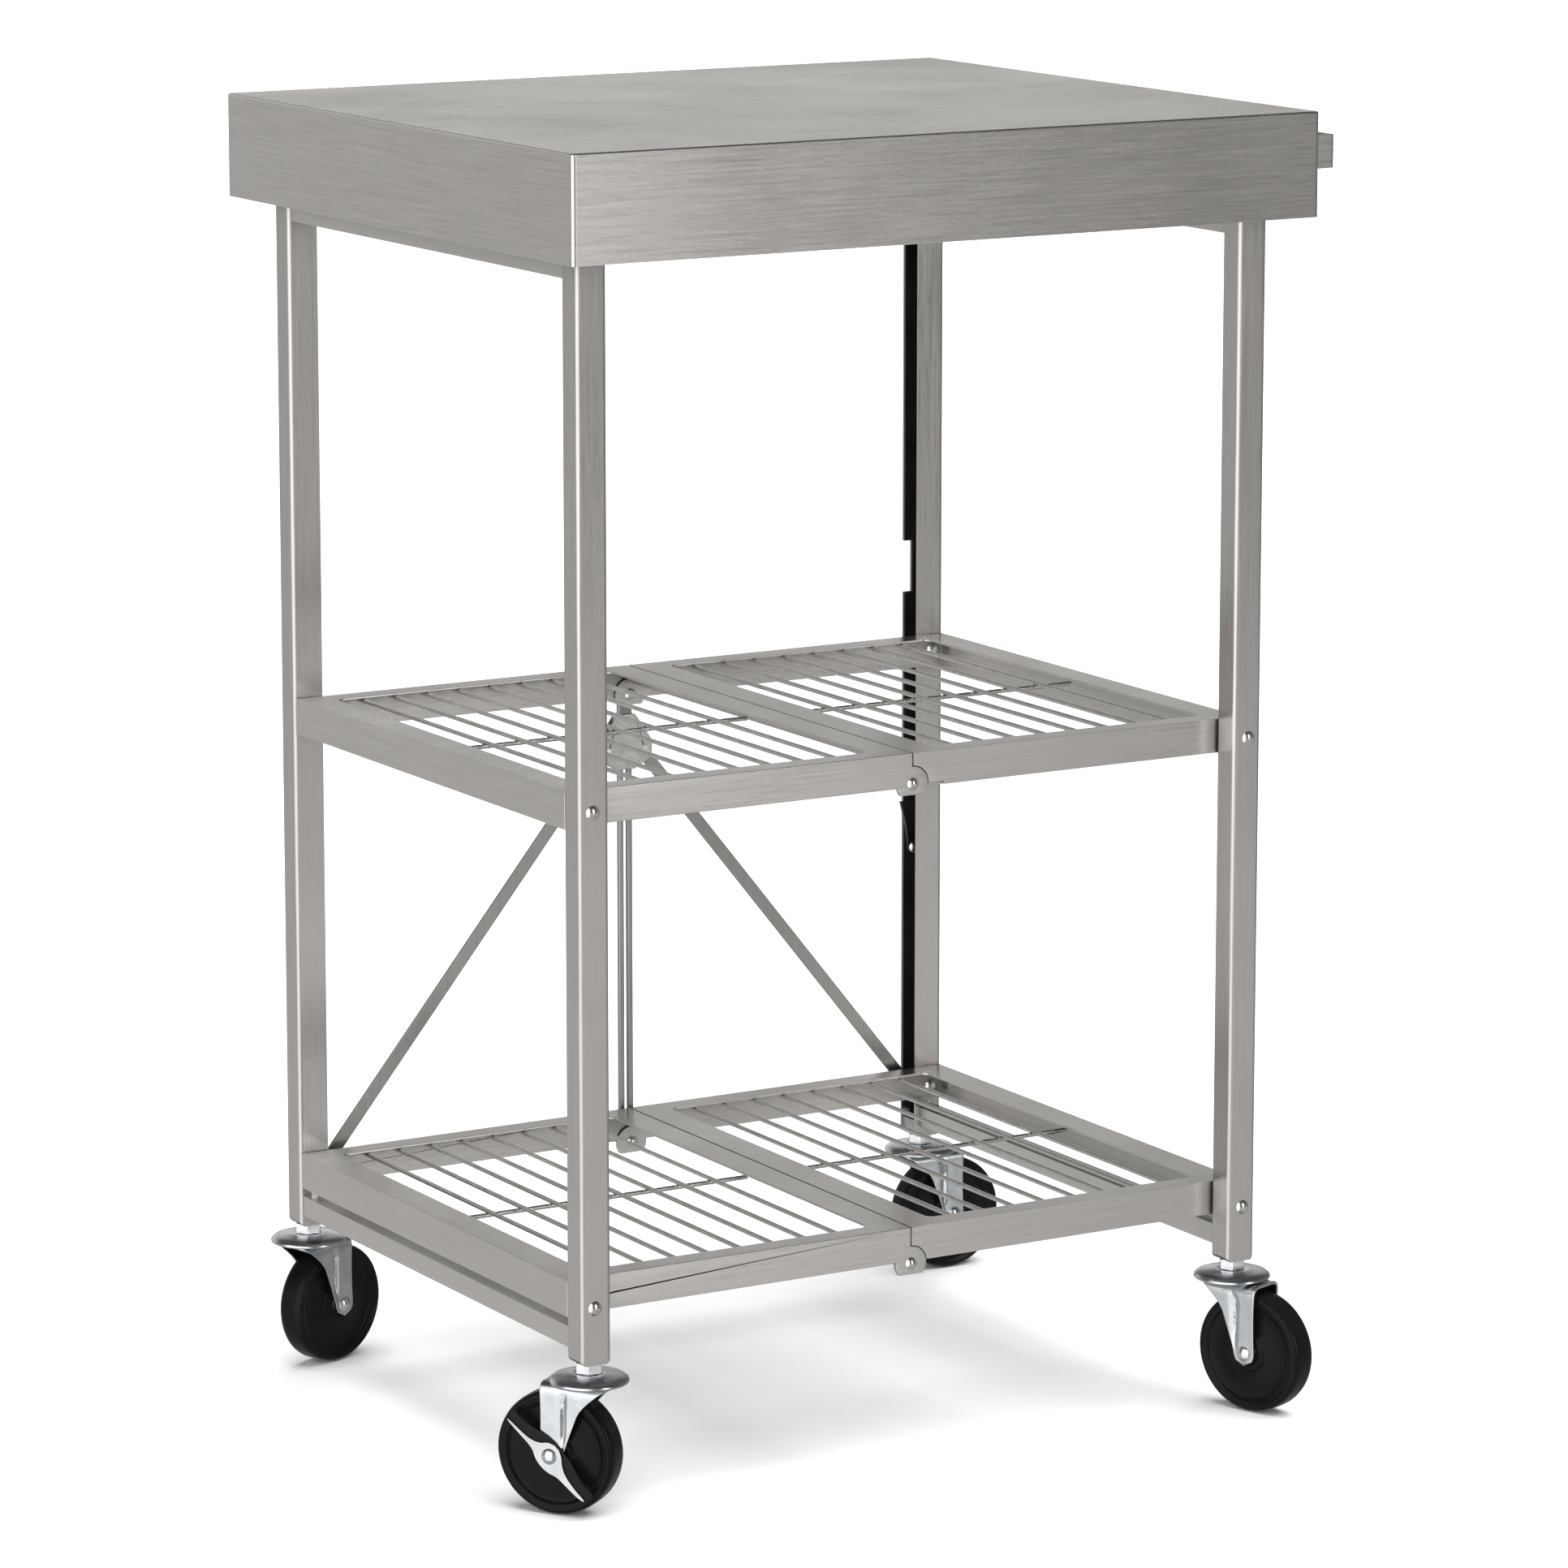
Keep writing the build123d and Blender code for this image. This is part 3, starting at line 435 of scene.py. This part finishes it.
plug_plastic = moulded_plastic("plug_plastic", (0.018, 0.018, 0.019), 0.5, 0.4, 1800.0, 0.25)
finish_node("top_corner_blocks", plug_plastic)
ease_edges("top_corner_blocks", 0.0008)

# ---- Side handle ----------------------------------------------------------------------------------
# The handle on the right end is one flat stainless strip bent out at both ends and held by four
# screws. It doubles as a towel rail, so its grain runs along it and its edges are rounded.
handle_steel = brushed_steel("handle_steel", 0.0, (0.62, 0.61, 0.59), 0.08, 0.24, 0.6)
finish_node("side_handle", handle_steel)
ease_edges("side_handle", 0.0007, 3)


def bright_metal(name, tone, roughness, mottle_scale, mottle, depth):
    """Bright plated or polished metal with faint mottling and rubbed edges."""
    material = bpy.data.materials.new(name)
    material.use_nodes = True
    tree = material.node_tree
    shader = tree.nodes["Principled BSDF"]
    shader.inputs["Metallic"].default_value = 1.0
    place = tree.nodes.new("ShaderNodeTexCoord")
    patches = noise(tree, place.outputs["Object"], mottle_scale, 4.0)
    wear = place_group(tree, wear_group, {"Breakup": 150.0})
    dull = tuple(value * (1.0 - mottle) for value in tone)
    colour = blend_colours(tree, remap(tree, patches, 0.35, 0.65, 0.0, 1.0), dull, tone)
    worn_share = math_node(tree, "MULTIPLY", wear.outputs["Mask"], 0.35)
    colour = blend_colours(tree, worn_share, colour, (0.9, 0.9, 0.9))
    link(tree, colour, (shader, "Base Color"))
    link(tree, remap(tree, patches, 0.3, 0.7, roughness + 0.06, roughness - 0.03), (shader, "Roughness"))
    fine_height = noise(tree, place.outputs["Object"], mottle_scale * 12.0, 2.0)
    link(tree, bump(tree, fine_height, depth, 0.0002), (shader, "Normal"))
    return material


rivet_steel = bright_metal("rivet_steel", (0.86, 0.86, 0.85), 0.14, 140.0, 0.12, 0.05)
finish_node("side_handle_screws", rivet_steel)
ease_edges("side_handle_screws", 0.0006, 3)

# ---- End frames -----------------------------------------------------------------------------------
# Each end frame has a closed square front leg and a channel back leg, roll-formed and brushed
# lengthways, joined by tubes at the top and foot. Black plugs close the tops, threaded plates the feet.
leg_steel = brushed_steel("leg_steel", 1.0, (0.60, 0.585, 0.57), 0.11, 0.28, 0.75)
rail_steel = brushed_steel("rail_steel", 0.0, (0.66, 0.645, 0.63), 0.09, 0.3, 0.6)
for side in ("left", "right"):
    for row in ("front", "back"):
        finish_node(side + "_" + row + "_leg", leg_steel)
    for height in ("top", "foot"):
        finish_node(side + "_" + height + "_rail", rail_steel)
        ease_edges(side + "_" + height + "_rail", 0.0004)
    finish_node(side + "_leg_plugs", plug_plastic)
    ease_edges(side + "_leg_plugs", 0.0005)
    finish_node(side + "_foot_plates", inner_zinc)
    finish_node(side + "_frame_pins", rivet_steel)

# ---- Lock bar and lever ---------------------------------------------------------------------------
# The strip inside the back right leg is steel with a black coating. The lever that turns on its bolt
# is the same, worn brighter at its edges.
def black_coat(name, tone, roughness):
    """Black coated steel: a thin satin film with a faint orange peel, worn to metal at the edges."""
    material = bpy.data.materials.new(name)
    material.use_nodes = True
    tree = material.node_tree
    shader = tree.nodes["Principled BSDF"]
    shader.inputs["Coat Weight"].default_value = 0.3
    shader.inputs["Coat Roughness"].default_value = 0.25
    place = tree.nodes.new("ShaderNodeTexCoord")
    peel = noise(tree, place.outputs["Object"], 500.0, 2.0)
    patches = noise(tree, place.outputs["Object"], 35.0, 3.0)
    wear = place_group(tree, wear_group, {"Breakup": 70.0})
    lighter = tuple(value * 1.8 for value in tone)
    colour = blend_colours(tree, remap(tree, patches, 0.35, 0.7, 0.0, 1.0), tone, lighter)
    worn_share = math_node(tree, "MULTIPLY", wear.outputs["Mask"], 0.5)
    colour = blend_colours(tree, worn_share, colour, (0.2, 0.19, 0.18))
    link(tree, colour, (shader, "Base Color"))
    link(tree, worn_share, (shader, "Metallic"))
    link(tree, remap(tree, patches, 0.3, 0.7, roughness - 0.05, roughness + 0.07), (shader, "Roughness"))
    link(tree, bump(tree, peel, 0.1, 0.0002), (shader, "Normal"))
    return material


lock_black = black_coat("lock_black", (0.007, 0.0065, 0.005), 0.42)
finish_node("right_lock_bar", lock_black)
finish_node("right_lock_lever", lock_black)
ease_edges("right_lock_lever", 0.0006)
finish_node("right_lever_bolt", rivet_steel)

# ---- Shelves --------------------------------------------------------------------------------------
# Each half of a shelf is one pressed stainless frame with turned-down edges, brushed along the shelf.
# Bright drawn wires are welded across its opening, and rivets hold the two halves at the knee.
shelf_steel = brushed_steel("shelf_steel", 0.0, (0.635, 0.62, 0.60), 0.10, 0.27, 0.75)
wire_steel = bright_metal("wire_steel", (0.62, 0.61, 0.59), 0.24, 90.0, 0.14, 0.08)
for level in ("middle", "bottom"):
    for side in ("left", "right"):
        finish_node(level + "_" + side + "_tray", shelf_steel)
        ease_edges(level + "_" + side + "_tray", 0.0005)
        finish_node(level + "_" + side + "_wires", wire_steel)
    finish_node(level + "_knee_pins", rivet_steel)

# ---- Centre rod, bracket and braces ---------------------------------------------------------------
# A slotted flat bar joins the two knees at the back. A folded bracket slides on it and carries the
# two flat steel braces, which are a darker, drawn finish than the sheet parts.
link_steel = brushed_steel("link_steel", 1.0, (0.42, 0.415, 0.40), 0.14, 0.3, 0.4, length=60.0, width=900.0)
for name in ("centre_rod", "left_brace", "right_brace"):
    finish_node(name, link_steel)
    ease_edges(name, 0.0008, 3)
bracket_zinc = bright_metal("bracket_zinc", (0.66, 0.66, 0.65), 0.26, 80.0, 0.2, 0.1)
finish_node("slide_bracket", bracket_zinc)
ease_edges("slide_bracket", 0.0004)
finish_node("slide_bracket_pins", rivet_steel)

# ---- Casters --------------------------------------------------------------------------------------
# Swivel casters: a pressed zinc-plated fork under a domed ball-race plate, held up into the leg by a
# nut and stem, with a hard black wheel on a steel bush and axle. All sizes here are in millimetres.
caster_zinc = bright_metal("caster_zinc", (0.60, 0.63, 0.66), 0.24, 60.0, 0.2, 0.16)
axle_zinc = bright_metal("axle_zinc", (0.74, 0.76, 0.79), 0.2, 160.0, 0.14, 0.06)
wheel_black = moulded_plastic("wheel_black", (0.0045, 0.0045, 0.0047), 0.22, 0.1, 700.0, 0.05)
pedal_black = moulded_plastic("pedal_black", (0.005, 0.005, 0.0053), 0.3, 0.15, 1500.0, 0.12)
mm = 0.001
axle_height = 42.0
trail = 21.0  # from the stem to the axle
fork_half_width = 13.6
fork_eye = 8.4  # round the axle
fork_shoulder = 84.5  # where the sides start to turn into the crown
fork_bend = 5.0
fork_crown = 89.5
groove_depth = 2.2
groove_place = trail - 8.3
groove_width = 1.5


def mesh_piece(name, shape, material, body, smooth=True):
    """Makes a piece from a bmesh, already in place, with its finish and body."""
    mesh = bpy.data.meshes.new(name)
    bmesh.ops.recalc_face_normals(shape, faces=shape.faces)
    shape.to_mesh(mesh)
    shape.free()
    for face in mesh.polygons:
        face.use_smooth = smooth
    mesh.materials.append(material)
    piece = bpy.data.objects.new(name, mesh)
    bpy.context.scene.collection.objects.link(piece)
    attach(piece, body)
    return piece


def turn_profile(shape, profile, steps, place):
    """Turns a closed (radius, along) profile about an axis. place maps (along, x, z) to a point."""
    rings = []
    for step in range(steps):
        angle = 2.0 * math.pi * step / steps
        rings.append([shape.verts.new(place(along, radius * math.cos(angle), radius * math.sin(angle)))
                      for radius, along in profile])
    count = len(profile)
    for step in range(steps):
        here = rings[step]
        there = rings[(step + 1) % steps]
        for index in range(count):
            after = (index + 1) % count
            shape.faces.new((here[index], here[after], there[after], there[index]))


def smooth_outline(points, repeats=3):
    """A closed outline with its corners cut round, by cutting every corner at its quarter points."""
    for _ in range(repeats):
        cut = []
        for index, point in enumerate(points):
            after = points[(index + 1) % len(points)]
            cut.append((point[0] * 0.75 + after[0] * 0.25, point[1] * 0.75 + after[1] * 0.25))
            cut.append((point[0] * 0.25 + after[0] * 0.75, point[1] * 0.25 + after[1] * 0.75))
        points = cut
    return points


def round_edges(piece):
    """Rounds the sheared edges of a pressed piece made here."""
    ease = piece.modifiers.new("ease", "BEVEL")
    ease.width = 0.0005
    ease.segments = 2
    ease.limit_method = "ANGLE"
    ease.angle_limit = math.radians(50.0)


def caster_places(corner):
    """A caster's stem, its hub, the level direction from stem to hub, and the one beside it."""
    swivel = next(joint for joint in frame["joints"] if joint["name"] == "swivel_" + corner)
    roll = next(joint for joint in frame["joints"] if joint["name"] == "roll_" + corner)
    stem = Vector(swivel["pos_m"])
    hub = Vector(roll["pos_m"])
    heading = Vector((hub.x - stem.x, hub.y - stem.y, 0.0)).normalized()
    return stem, hub, heading, Vector((-heading.y, heading.x, 0.0))


wheel_half = [(6.5, 10.9), (11.0, 10.9), (12.2, 10.5), (13.4, 8.6), (15.0, 7.9), (31.5, 7.4), (33.2, 7.7),
              (34.2, 8.6), (35.0, 9.6), (36.0, 10.0), (37.2, 10.0), (37.8, 10.5), (38.8, 10.6), (40.2, 9.9),
              (41.3, 8.6), (41.9, 6.6), (42.0, 4.0)]
wheel_profile = wheel_half + [(radius, -along) for radius, along in reversed(wheel_half)]

for corner in ("front_left", "front_right", "back_left", "back_right"):
    stem, hub, heading, beside = caster_places(corner)

    def at(x, y, z):
        """A point of this caster, in millimetres from its stem: along its trail, across it, and up."""
        foot = Vector((stem.x, stem.y, 0.0))
        return foot + heading * (x * mm) + beside * (y * mm) + Vector((0.0, 0.0, z * mm))

    caster = "caster_" + corner
    finish_node(caster + "_axle", axle_zinc)
    finish_node(caster + "_bush", axle_zinc)

    # The wheel is moulded in one piece, with a rounded tread, a stepped rim and a dished face.
    shape = bmesh.new()
    turn_profile(shape, wheel_profile, 96, lambda along, x, z: at(trail + x, along, axle_height + z))
    wheel = mesh_piece(caster + "_wheel_moulded", shape, wheel_black, "wheel_" + corner)
    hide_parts(caster + "_wheel")

    # The fork is one pressing: two side plates that narrow to the axle, over a flat crown. A groove
    # pressed into each side stiffens it.
    shape = bmesh.new()
    rows = []
    steps_down = 14
    eye_foot = axle_height - fork_eye
    path = []
    for index in range(steps_down + 1):
        path.append((fork_half_width, eye_foot + (fork_shoulder - eye_foot) * index / steps_down))
    bend_steps = 5
    for index in range(1, bend_steps + 1):
        angle = math.radians(90.0 * index / bend_steps)
        path.append((fork_half_width - fork_bend + fork_bend * math.cos(angle),
                     fork_shoulder + fork_bend * math.sin(angle)))
    path += [(4.0, fork_crown), (0.0, fork_crown)]
    path += [(-across, height) for across, height in reversed(path[:-1])]
    columns = 30
    for across, height in path:
        if height < axle_height:
            drop = min(1.0, (axle_height - height) / fork_eye)
            half = fork_eye * math.sqrt(max(0.0, 1.0 - drop * drop))
            trailing, leading = trail + half, trail - half
        else:
            share = (height - axle_height) / (fork_crown - axle_height)
            flare = max(0.0, (share - 0.6) / 0.4)
            trailing = trail + fork_eye - 0.8 * math.sin(share * math.pi)
            leading = trail - fork_eye - 18.0 * share ** 1.1 - 13.0 * flare ** 1.6
        groove = groove_depth * min(1.0, max(0.0, (height - 46.0) / 12.0)) * (1.0 if height < 82.0 else 0.0)
        outward = 1.0 if across > 0 else -1.0
        row = []
        for index in range(columns + 1):
            x = leading + (trailing - leading) * index / columns
            sunk = groove * math.exp(-((x - groove_place) / groove_width) ** 2)
            row.append(shape.verts.new(at(x, across - outward * sunk, height)))
        rows.append(row)
    for here, there in zip(rows, rows[1:]):
        for index in range(columns):
            shape.faces.new((here[index], here[index + 1], there[index + 1], there[index]))
    bmesh.ops.remove_doubles(shape, verts=shape.verts, dist=0.00005)
    fork = mesh_piece(caster + "_fork_pressing", shape, caster_zinc, caster)
    sheet = fork.modifiers.new("sheet", "SOLIDIFY")
    sheet.thickness = 0.0019
    sheet.offset = 0.0
    round_edges(fork)
    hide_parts(caster + "_fork")

    # The race plate is a domed disc with a rolled lip, over the ring that holds the balls.
    shape = bmesh.new()
    plate = [(5.1, 96.9), (12.5, 96.9), (14.0, 96.5), (20.0, 95.8), (24.2, 94.6), (26.0, 93.2), (26.5, 91.9),
             (26.2, 91.1), (25.6, 91.3), (25.2, 92.4), (23.6, 93.4), (20.0, 94.2), (5.1, 94.6)]
    turn_profile(shape, plate, 72, lambda along, x, z: at(x, z, along))
    ring = [(8.0, 94.2), (19.6, 93.9), (21.6, 93.0), (22.4, 91.6), (21.8, 90.6), (20.2, 90.3), (8.0, 90.3)]
    turn_profile(shape, ring, 72, lambda along, x, z: at(x, z, along))
    mesh_piece(caster + "_race_plate", shape, caster_zinc, caster)

for side in ("left", "right"):
    finish_node(side + "_caster_stems", axle_zinc)
    ease_edges(side + "_caster_stems", 0.0005)

# ---- Foot brakes ----------------------------------------------------------------------------------
# A brake is a black moulded rocker across the outside of the wheel, pressed down at either end, with
# a zinc-plated steel strap along it that widens to a round boss at the axle.
brake_slope = math.radians(42.0)
pad_inner = 14.9  # from the wheel's middle to the rocker's inner face
pad_outer = 16.4
strap_outer = 17.9
for corner in ("front_left", "back_right"):
    stem, hub, heading, beside = caster_places(corner)

    def on_brake(along, across, out):
        """A point of the brake, in millimetres from the axle: along its slope, across it, and out."""
        x = along * math.cos(brake_slope) - across * math.sin(brake_slope)
        z = along * math.sin(brake_slope) + across * math.cos(brake_slope)
        return hub + heading * (x * mm) + beside * (out * mm) + Vector((0.0, 0.0, z * mm))

    def slab(outline, low, high):
        """A flat plate with that outline between two distances out from the wheel."""
        shape = bmesh.new()
        bottom = [shape.verts.new(on_brake(along, across, low)) for along, across in outline]
        top = [shape.verts.new(on_brake(along, across, high)) for along, across in outline]
        shape.faces.new(bottom)
        shape.faces.new(list(reversed(top)))
        for index in range(len(outline)):
            after = (index + 1) % len(outline)
            shape.faces.new((bottom[index], bottom[after], top[after], top[index]))
        return shape

    pad_outline = smooth_outline([
        (-37.8, -3.2), (-36.0, -4.4), (-30.0, -4.2), (-14.0, -5.5), (0.0, -7.5), (14.0, -5.5), (30.0, -4.2),
        (36.0, -4.4), (37.8, -3.2), (38.4, 0.6), (37.8, 3.8), (35.0, 3.4), (30.0, 3.0), (22.0, 4.8),
        (12.0, 8.2), (0.0, 9.0), (-12.0, 8.2), (-22.0, 4.8), (-30.0, 3.0), (-35.0, 3.4), (-37.8, 3.8),
        (-38.4, 0.6)])
    pad = mesh_piece("caster_" + corner + "_brake_rocker", slab(pad_outline, pad_inner, pad_outer),
                     pedal_black, "brake_" + corner, smooth=False)
    strap_outline = smooth_outline([
        (-37.0, -4.4), (-31.0, -5.6), (-21.0, -6.0), (-13.0, -6.2), (-7.0, -9.0), (0.0, -9.6), (6.0, -8.4),
        (12.0, -4.8), (24.0, -4.6), (37.0, -4.4), (37.0, -3.0), (24.0, -2.6), (16.0, -1.2), (10.0, 2.2),
        (6.5, 7.2), (0.0, 8.8), (-6.0, 6.8), (-10.5, 2.0), (-17.0, -1.4), (-28.0, -3.0), (-37.0, -3.0)])
    strap = mesh_piece("caster_" + corner + "_brake_bar", slab(strap_outline, pad_outer, strap_outer),
                       caster_zinc, "brake_" + corner, smooth=False)
    round_edges(pad)
    round_edges(strap)
    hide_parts("caster_" + corner + "_brake_pad")
    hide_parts("caster_" + corner + "_brake_strap")
